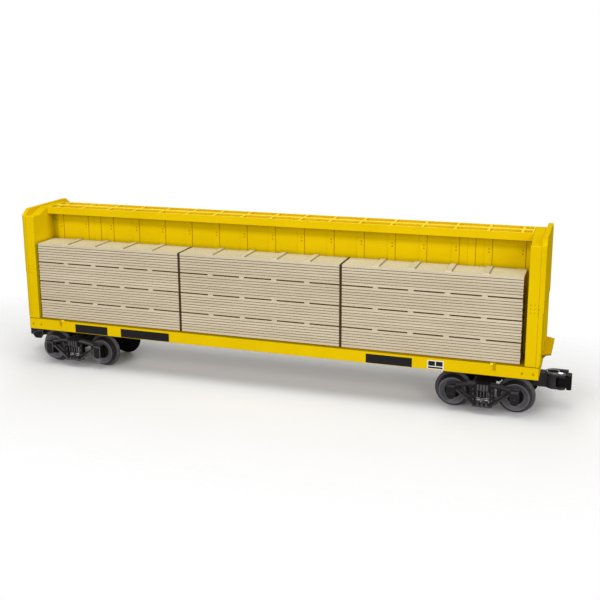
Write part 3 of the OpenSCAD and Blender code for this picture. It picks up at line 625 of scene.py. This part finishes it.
def platform(node):
    """Crossover platform: its edges and underside lie in shade."""
    shape = Shape().cad(node).rounded(width=0.2)
    shape.tinted(lambda face, middle: 0 if face.normal.z > SLOPED else 1)
    look(node, shape, [YELLOW, SHADE], "body_plastic")


def body_rivets():
    """Rivet heads of a side: two on each post, a row at each end of the sill and a patch on each bulkhead."""
    sill_low, sill_high = span("side_sill_near")
    part_low, _ = span("partition_near")
    chord_low, _ = span("top_chord")
    post_drops, post_shift = (7.05, 9.05), 0.6
    row_inset, row_pitch, row_rise, row_sink = 2.9, 6.1, 3.375, 0.3
    patch_inset, patch_z, patch_pitch = 4.0, 67.3, (2.1, 2.3)
    for side, turn in SIDE_TURNS:
        shape = Shape()
        for k in range(-POSTS, POSTS + 1):
            for drop in post_drops:
                place = (k * POST_PITCH + post_shift, part_low.y, chord_low.z - drop)
                shape.dome(place, NEAR_OUT, **POST_RIVET)
        for end in (-1, 1):
            for k in (0, 1):
                x = end * (sill_high.x - row_inset - k * row_pitch)
                shape.dome((x, sill_low.y + row_sink, sill_low.z + row_rise), NEAR_OUT, **SILL_RIVET)
            for i in (-1, 0, 1):
                for j in (-1, 0, 1):
                    x = end * (sill_high.x - patch_inset) + i * patch_pitch[0]
                    z = patch_z + j * patch_pitch[1]
                    shape.dome((x, sill_low.y, z), NEAR_OUT, **PATCH_RIVET)
        # The rivet heads are in painted shade
        shape.turned(turn).piece("body_rivets_" + side, RIVET, "car_body", slot="body_plastic")


def end_rivets():
    """Row of rivet heads where the two plates of each end sheet lap."""
    _, sheet_high = span("end_sheet_right")
    row_z, half_row, pitch = 66.2, 25.0, 3.125
    for end, turn in END_TURNS:
        shape = Shape()
        for k in range(int(2 * half_row / pitch) + 1):
            shape.dome((sheet_high.x, k * pitch - half_row, row_z), (1, 0, 0), **END_RIVET)
        # The rivet heads are in painted shade
        shape.turned(turn).piece("end_rivets_" + end, RIVET, "car_body", slot="body_plastic")


def post_shadow_lines():
    """Painted shadow: a thin dark strip along the right-hand edge of each post, as seen from its own side."""
    part_low, _ = span("partition_near")
    chord_low, _ = span("top_chord")
    _, deck_high = span("deck")
    post_half, post_proud, shadow_w = 2.2, 0.5, 0.4
    thick, thin, sunk, foot_gap, head_gap = 0.12, 0.02, 0.2, 1.0, 0.1
    face = part_low.y + post_proud
    posts = [k * POST_PITCH for k in range(-POSTS, POSTS + 1)]
    posts += [end * EXTRA_POST * POST_PITCH for end in (-1, 1)]
    for side, turn in SIDE_TURNS:
        shape = Shape()
        for x in posts:
            x0, x1 = x + post_half, x + post_half + shadow_w
            outline = [(x0, face - thick), (x1, face - thin), (x1, face + sunk), (x0, face + sunk)]
            shape.prism(outline, "Z", deck_high.z + foot_gap, chord_low.z - head_gap)
        shape.turned(turn).piece("post_shadow_lines_" + side, SHADE, "car_body", slot="body_plastic")


def sill_panels():
    """Bare panels along each side sill, one of them framed in three fields."""
    low, high = span("side_sill_near")
    top, bottom = high.z - PANEL_TOP, low.z + PANEL_FOOT
    front, field_front, back = low.y - PANEL_T, low.y - FIELD_T, low.y + PANEL_SUNK
    frame_foot, rim, field_foot, bar_foot, bar_top = 0.2, 0.55, 2.2, 0.65, 1.65
    x0, x1 = FRAMED_PANEL
    middle = (x0 + x1) / 2
    for side, turn in SIDE_TURNS:
        shape = Shape()
        for left, right in PANELS:
            shape.box((left, front, bottom), (right, back, top))
        shape.box((x0, front, bottom + frame_foot), (x1, back, top), slot=1)
        for left, right in ((x0 + rim, middle - rim / 2), (middle + rim / 2, x1 - rim)):
            shape.box((left, field_front, bottom + field_foot), (right, back, top - rim))
        shape.box((x0 + rim, field_front, bottom + bar_foot), (x1 - rim, back, bottom + bar_top))
        shape.turned(turn).piece("sill_panels_" + side, [PANEL, WHITE], "car_body")


# Lumber


def lumber():
    """Each load: rows of boards over a dark core, with straps where its bundles meet."""
    low, high = span("lumber_near")
    strap_low, strap_high = span("straps_near")
    joints = [strap_low.x + STRAP_HALF, strap_high.x - STRAP_HALF]
    edges = [low.x] + joints + [high.x]
    top = low.z + TIERS * TIER_PITCH - SLOT_H
    for side, turn in SIDE_TURNS:
        load = "load_" + side
        boards = load_boards(low, high, top, list(zip(edges, edges[1:])), random.Random(SEED + turn))
        looks = [TAN, BROWN, CLEAT, TAN_TOP_LIT]
        boards.turned(turn).piece("boards_" + side, looks, load, ["lumber_" + side], "lumber")
        core = load_core(low, high, top)
        looks = [SLOT_BROWN, BROWN, SLOT_SHADE]
        core.turned(turn).piece("lumber_core_" + side, looks, load, slot="strap")
        straps = Shape()
        for x in joints:
            strap_band(straps, x, low, high, top)
        straps.turned(turn).piece("strap_bands_" + side, STRAP, load, ["straps_" + side], "strap")


def load_boards(low, high, top, bundles, chance):
    """Boards with uneven ends, spacers between the tiers and cleats with sloped sides on top."""
    front, back = low.y, high.y
    half = SPACER_W / 2
    foot = half + CLEAT_SLOPE
    shape = Shape()
    for tier in range(TIERS):
        z0 = low.z + tier * TIER_PITCH
        for k in range(BOARDS):
            a = z0 + k * LAYER + (BOARD_GAP / 2 if k else 0)
            b = z0 + (k + 1) * LAYER - (BOARD_GAP / 2 if k < BOARDS - 1 else 0)
            topmost = tier == TIERS - 1 and k == BOARDS - 1
            for x0, x1 in bundles:
                x0 += chance.uniform(0.0, BOARD_END_PLAY)
                x1 -= chance.uniform(0.0, BOARD_END_PLAY)
                y0 = front + chance.uniform(0.0, BOARD_FACE_PLAY)
                shape.box((x0, y0, a), (x1, back if topmost else front + FACE_DEPTH, b))
    for x0, x1 in bundles:
        for k in range(SPACERS):
            x = x0 + (x1 - x0) * (k + 1) / (SPACERS + 1)
            for tier in range(1, TIERS):
                z1 = low.z + tier * TIER_PITCH
                shape.box(
                    (x - half, front + SPACER_SHY, z1 - SLOT_H - SPACER_LAP),
                    (x + half, front + SLOT_D, z1 + SPACER_LAP),
                )
            sunk = top - CLEAT_SUNK
            outline = [(x - foot, sunk), (x + foot, sunk), (x + half, high.z), (x - half, high.z)]
            shape.prism(outline, "Y", front + CLEAT_SHY, back)
    shape.rounded(BOARD_ROUND)
    bmesh.ops.recalc_face_normals(shape.bm, faces=shape.bm.faces)
    end_depth, top_depth, cleat_rise = 0.4, 0.1, 0.05
    end_slot, cleat_shade_slot, lit_top_slot = 1, 2, 3

    # Board ends in the core's brown, the cleats' sides towards +X in painted shade, and the faces that look
    # up in the painted-light copy of the board paint
    def rule(face, middle):
        at_end = middle.x < low.x + end_depth or middle.x > high.x - end_depth
        if abs(face.normal.x) > FLAT and at_end:
            return end_slot
        if face.normal.x > SLOPED and middle.z > top + cleat_rise:
            return cleat_shade_slot
        return lit_top_slot if face.normal.z > SLOPED and middle.z > top - top_depth else 0

    return shape.tinted(rule)


def load_core(low, high, top):
    """Dark inside of a load, seen in the gaps between the boards and in the slots between the tiers."""
    end_shy, top_shy, face_shy, slot_lap, back_lap = 0.5, 0.3, 0.75, 0.2, 0.1
    x0, x1 = low.x + end_shy, high.x - end_shy
    slot_back = low.y + SLOT_D
    back = slot_back + back_lap
    shape = Shape().box((x0, slot_back, low.z), (x1, high.y, top - top_shy))
    for tier in range(TIERS):
        z0 = low.z + tier * TIER_PITCH
        shape.box((x0, low.y + face_shy, z0), (x1, back, z0 + TIER_H - top_shy))
        if tier:
            # A face just inside each slot, in painted shade for the shade deeper in the slot
            shape.box((x0, low.y + SLOT_SEEN, z0 - SLOT_H - slot_lap), (x1, back, z0 + slot_lap), slot=2)
    return shape.tinted(lambda face, middle: 1 if abs(face.normal.x) > FLAT else face.material_index)


def strap_band(shape, x, low, high, top):
    """One strap: a thin band down the face, a little wider where it bridges two boards, and over the top."""
    front, back, z0 = low.y, high.y, low.z
    rise, thick, sunk = 0.2, 0.5, 0.3
    wide_half, narrow_half, top_half, wide_rise = 0.8, 0.66, 0.6, 0.12
    steps = int(round((top - z0) / (LAYER / 2)))
    rings = []
    for k in range(steps + 1):
        z = z0 + (top + rise - z0) * k / steps
        half, out = (narrow_half, rise) if k % 2 else (wide_half, wide_rise)
        y0, y1 = front - out, front + thick
        rings.append([(x - half, y0, z), (x + half, y0, z), (x + half, y1, z), (x - half, y1, z)])
    shape.skin(rings)
    shape.box((x - top_half, front + sunk, top - sunk), (x + top_half, back, top + rise))


# Trucks


def wheels_and_axles():
    """Wheels of both trucks on their painted CAD axles."""
    for end in ENDS:
        for axle in ("inner", "outer"):
            # The axles are in painted shade
            paint(f"axle_{end}_{axle}", RECESS)
            for side, out in SIDES_OUT:
                wheel(f"wheel_{end}_{axle}_{side}", out)


def arc(centre, radius, first, last, steps=6):
    """Points on an arc between two angles in degrees."""
    angles = [math.radians(first + (last - first) * k / steps) for k in range(steps + 1)]
    return [(centre[0] + radius * math.cos(a), centre[1] + radius * math.sin(a)) for a in angles]


def wheel(node, out):
    """Wheel with a rounded rim ring, dished plate, hub and flange."""
    low, high = span(node)
    middle = (low + high) / 2
    face_y = outer_face(node, out)
    width = high.y - low.y
    flange = (high.z - low.z) / 2
    rim, tread, tread_w, hub, bore = 8.2, 9.1, 4.6, 3.0, 1.52
    dish, plate, tip = 1.7, 4.8, 0.54
    # Hub, plate, rim ring, tread, flange and back, as radius and depth behind the face
    profile = [(bore, 0.3), (hub - 0.3, 0.3), (hub, 0.5), (hub + 0.35, dish - 0.25), (hub + 0.8, dish)]
    profile += [(plate, dish - 0.05), (plate + 0.9, dish - 0.35), (rim - 0.75, 0.2)]
    profile += [(rim - 0.6, 0.02), (rim - 0.35, 0.0), (rim - 0.08, 0.12), (rim, 0.4)]
    profile += [(tread - 0.1, tread_w - 0.5), (tread + 0.25, tread_w + 0.1)]
    profile += arc((flange - tip, width - tip), tip, -60, 90)
    profile += [(hub + 1.5, width), (bore, width)]
    shape = Shape().lathe(profile, (middle.x, face_y, middle.z), (0, -out, 0), sides=96)
    # The plate and the back in painted shade, the flange in painted light
    tread_slot, shade_slot, lit_flange_slot = 1, 2, 3
    tread_end, back = tread + 0.4, width - 0.3

    def rule(face, place):
        radius = math.hypot(place.x - middle.x, place.z - middle.z)
        depth = (face_y - place.y) * out
        if radius < plate or depth > back:
            return shade_slot
        if radius > rim or depth > width / 2:
            return tread_slot if radius < tread_end else lit_flange_slot
        return 0

    look(node, shape.tinted(rule), [WHEEL, BLACK, RECESS, RAISED], "wheel_metal")


def eased_turn(u, ease=0.06):
    """Share of a spring's turns at a share u of its height, flat at both ends."""
    if u < ease:
        share = u * u / (2 * ease)
    elif u > 1 - ease:
        share = 1 - ease - (1 - u) ** 2 / (2 * ease)
    else:
        share = u - ease / 2
    return share / (1 - ease)


def spring_coils():
    """Coil springs between the spring seats and the bolster, as finer tubes on the CAD helix."""
    wire, outside, curls, pitch = 0.7, 3.6, 5, 4.6
    radius = (outside - wire) / 2
    steps = 24 * curls
    for end, sign in (("left", -1), ("right", 1)):
        node = "springs_" + end
        low, high = span(node)
        middle = (low + high) / 2
        height = high.z - low.z
        shape = Shape()
        for side in (-1, 1):
            for k in (-1, 1):
                centre = Vector((middle.x + k * pitch / 2, side * (high.y - outside / 2), low.z))
                path = [centre + Vector((sign * radius, 0, 0))]
                for j in range(steps + 1):
                    u = j / steps
                    angle = 2 * math.pi * curls * eased_turn(u)
                    rise = Vector((0, 0, wire + (height - 2 * wire) * u))
                    around = Vector((math.cos(angle), math.sin(angle), 0))
                    path.append(centre + sign * radius * around + rise)
                path.append(centre + Vector((sign * radius, 0, height)))
                shape.tube(path, wire / 2, sides=10)
        look(node, shape, SPRING, "bright_steel")


def trucks():
    """Side frames, couplers and bolsters, and the small steel pieces that keep their CAD shape."""
    for end, turn in END_TURNS:
        for side, out in SIDES_OUT:
            side_frame(f"sideframe_{end}_{side}", out)
            frame_details(end, side, out)
        # Couplers with painted highlights on their edges; the knuckles, tabs and bolsters in painted shade
        for node, materials, width in (
            ("coupler_", [BLACK, RIM], 0.35),
            ("knuckle_", [RECESS, RIM], 0.3),
            ("uncoupling_tab_", [LID, EDGE], 0.2),
        ):
            soften(node + end, materials, width, "black_casting", HIGHLIGHT_SLOT)
        soften("bolster_" + end, LID, width=0.25, slot="black_casting")
        coupler_rim(end, turn)
        for node in ("kingpin_", "washer_", "coupler_rivets_", "knuckle_pin_"):
            paint(node + end, STEEL)
    paint("body_screws", STEEL)
    paint("brake_housing", BLACK)
    paint("brake_wheel", BLACK)


def coupler_rim(end, turn):
    """Raised rim round the well in a coupler head, in painted highlight."""
    _, high = span("coupler_right")
    well_x, inner, outer, sunk, proud, bevel = 173.6, 3.25, 3.75, 0.2, 0.2, (0.15, 0.1)
    ring = [(inner, -sunk), (outer, -sunk), (outer, proud - bevel[1])]
    ring += [(outer - bevel[0], proud), (inner, proud)]
    shape = Shape().lathe(ring, (well_x, 0, high.z), (0, 0, 1), sides=48)
    shape.turned(turn).piece("coupler_rim_" + end, RIM, f"truck_{end}", slot="black_casting")


def side_frame(node, out):
    """Side frame: painted highlight on its rounded edges, painted light on its upward faces, plain black on
    its flanges, and painted shade on its web and in its recesses.
    """
    lid_face = outer_face(node, out)
    flange_depth = LID_T - FLANGE_T
    outward, lid_end, flange_end, edge_end = 0.7, 0.1, flange_depth + 0.1, flange_depth + 0.35

    def face_rule(face, middle):
        depth = (lid_face - middle.y) * out
        if face.normal.y * out > outward:
            return FLANGE_SLOT if lid_end <= depth < flange_end else LID_SLOT
        return LIT_FACE_SLOT if face.normal.z > SLOPED else RECESS_SHADE_SLOT

    def edge_rule(face, middle):
        deep = (lid_face - middle.y) * out > edge_end
        return RECESS_SHADE_SLOT if deep and face.material_index == HIGHLIGHT_SLOT else face.material_index

    shape = Shape().cad(node).tinted(face_rule).rounded(width=0.2, slot=HIGHLIGHT_SLOT).tinted(edge_rule)
    look(node, shape, CASTING, "black_casting")


def frame_details(end, side, out):
    """Lid bosses, bolts, ribs on the bolster end and the plank, and the cap before the springs."""
    node = f"sideframe_{end}_{side}"
    low, high = span(node)
    spring_low, spring_high = span("springs_" + end)
    lid_face = outer_face(node, out)
    end_face = outer_face("bolster_" + end, out)
    web = lid_face - out * LID_T
    flange = web + out * FLANGE_T
    centre = (low.x + high.x) / 2
    axle_z = span(f"axle_{end}_inner")[0].z + AXLE_R
    cap_low, cap_high = spring_low.z + 3.4, spring_high.z - 0.5
    boss_drop, hinge_half, hinge_low, hinge_high = 0.6, 1.9, 4.3, 5.0
    bolt_x, bolt_rises = 5.4, (4.4, 1.4, -2.0)
    # Ribs on the bolster end, on the cap and on the plank: places, half width, heights, base face, depths
    rib_rows = (
        ((-2.6, -0.85, 0.85, 2.6), 0.5, (spring_high.z + 0.4, spring_high.z + 4.0), end_face, (-0.3, 0.24)),
        ((-2.7, -0.9, 0.9, 2.7), 0.3, (cap_low + 0.4, cap_high + 0.1), web, (0.3, 0.75)),
        ((-2.5, 0.0, 2.5), 0.45, (low.z + 0.3, spring_low.z - 0.2), flange, (-0.5, 0.3)),
    )
    outward = (0, out, 0)
    shape = Shape()

    def plate(x, half, heights, base, depths, slot=0):
        """Plate about a place along the frame; depths are its back and front before a base face."""
        y0, y1 = sorted(base + out * depth for depth in depths)
        shape.box((centre + x - half, y0, heights[0]), (centre + x + half, y1, heights[1]), slot)

    # Bosses in the lids' dark tone, bolts and ribs in painted light, the cap in painted shade, all rounded
    # edges in painted highlight
    for k in (-1, 1):
        box_x = k * HALF_BASE
        boss = (centre + box_x, lid_face, axle_z - boss_drop)
        shape.dome(boss, outward, radius=1.3, height=0.35, slot=LID_SLOT, sides=20)
        plate(box_x, hinge_half, (axle_z + hinge_low, axle_z + hinge_high), lid_face, depths=(-0.3, 0.3))
        for rise in bolt_rises:
            bolt = (centre + k * bolt_x, web, axle_z + rise)
            shape.dome(bolt, outward, radius=0.5, height=0.4, slot=LIT_FACE_SLOT, sides=12)
    plate(0, 3.3, (cap_low, cap_high), web, depths=(0.02, 0.45), slot=RECESS_SHADE_SLOT)
    for places, half, heights, base, depths in rib_rows:
        for x in places:
            plate(x, half, heights, base, depths, slot=LIT_FACE_SLOT)
    shape.rounded(width=0.12, segments=1, slot=HIGHLIGHT_SLOT)
    shape.piece(f"frame_details_{end}_{side}", CASTING, f"truck_{end}", slot="black_casting")


# Stage


def camera():
    """Camera of the photograph."""
    yaw, pitch, roll = (math.radians(a) for a in (CAMERA_YAW, CAMERA_PITCH, CAMERA_ROLL))
    back = Vector((math.sin(yaw) * math.cos(pitch), -math.cos(yaw) * math.cos(pitch), math.sin(pitch)))
    level = Vector((math.cos(yaw), math.sin(yaw), 0))
    upright = back.cross(level)
    right = math.cos(roll) * level + math.sin(roll) * upright
    up = math.cos(roll) * upright - math.sin(roll) * level
    data = bpy.data.cameras.new("camera")
    data.sensor_fit = "HORIZONTAL"
    data.sensor_width = SENSOR
    data.lens = LENS_PX * SENSOR / PICTURE
    data.shift_x = (PICTURE / 2 - CENTRE_PX[0]) / PICTURE
    data.shift_y = (CENTRE_PX[1] - PICTURE / 2) / PICTURE
    data.clip_start = CLIP_START
    obj = bpy.data.objects.new("camera", data)
    place = Matrix.Translation(Vector(CAMERA_PLACE) * MM)
    obj.matrix_world = place @ Matrix((right, up, back)).transposed().to_4x4()
    bpy.context.scene.collection.objects.link(obj)
    bpy.context.scene.camera = obj


def lights():
    """Soft round lamps aimed at the middle of the car."""
    for name, place, size, power in LAMPS:
        data = bpy.data.lights.new(name, "AREA")
        data.shape = "DISK"
        data.size = size
        data.energy = power
        obj = bpy.data.objects.new(name, data)
        obj.location = place
        obj.rotation_euler = (Vector(CAR_MIDDLE) - Vector(place)).to_track_quat("-Z", "Y").to_euler()
        bpy.context.scene.collection.objects.link(obj)


def seen_directly(tree):
    """1 for rays from the camera and for reflections, 0 for light that spreads."""
    ray = shader_node(tree, "LightPath").outputs
    seen = ray["Is Camera Ray"]
    for other in ("Is Glossy Ray", "Is Transmission Ray"):
        seen = shader_node(tree, "Math", {0: seen, 1: ray[other]}, operation="MAXIMUM").outputs[0]
    return seen


def floor():
    """Pale floor that fades into the white background away from the car."""
    mesh = bpy.data.meshes.new("floor")
    corners = [(x * FLOOR_REACH, y * FLOOR_REACH, 0) for x, y in ((-1, -1), (1, -1), (1, 1), (-1, 1))]
    mesh.from_pydata(corners, [], [(0, 1, 2, 3)])
    finish = Finish("floor_pale", roughness=0.9, specular=0.1)
    tree = finish.tree
    pale = finish.ramp(finish.noise(scale=9, detail=2), list(zip((0.3, 0.7), FLOOR_PALE)))
    finish.set_colour(finish.mix(seen_directly(tree), FLOOR_SPREAD, pale))
    squashed = shader_node(tree, "Mapping", {"Vector": finish.place, "Scale": FLOOR_SQUASH}).outputs["Vector"]
    distance = shader_node(tree, "VectorMath", {0: squashed}, operation="LENGTH").outputs["Value"]
    near, far = FLOOR_FADE
    fade = shader_node(tree, "MapRange", {"Value": distance, "From Min": near, "From Max": far}).outputs[0]
    clear = shader_node(tree, "BsdfTransparent").outputs[0]
    mixed = shader_node(tree, "MixShader", {0: fade, 1: finish.shader.outputs[0], 2: clear})
    tree.links.new(mixed.outputs[0], tree.nodes["Material Output"].inputs["Surface"])
    mesh.materials.append(finish.material)
    obj = bpy.data.objects.new("floor", mesh)
    bpy.context.scene.collection.objects.link(obj)


def world():
    """White to the camera and in reflections, softer as light."""
    made = bpy.data.worlds.new("studio")
    bpy.context.scene.world = made
    made.use_nodes = True
    tree = made.node_tree
    levels = {"Value": seen_directly(tree), "To Min": WORLD_LIGHT, "To Max": 1.0}
    back = tree.nodes["Background"]
    back.inputs["Color"].default_value = (1, 1, 1, 1)
    tree.links.new(shader_node(tree, "MapRange", levels).outputs[0], back.inputs["Strength"])


car_body()
body_rivets()
end_rivets()
post_shadow_lines()
sill_panels()
lumber()
wheels_and_axles()
spring_coils()
trucks()
camera()
floor()
world()
lights()
bpy.context.scene.view_settings.view_transform = "Standard"
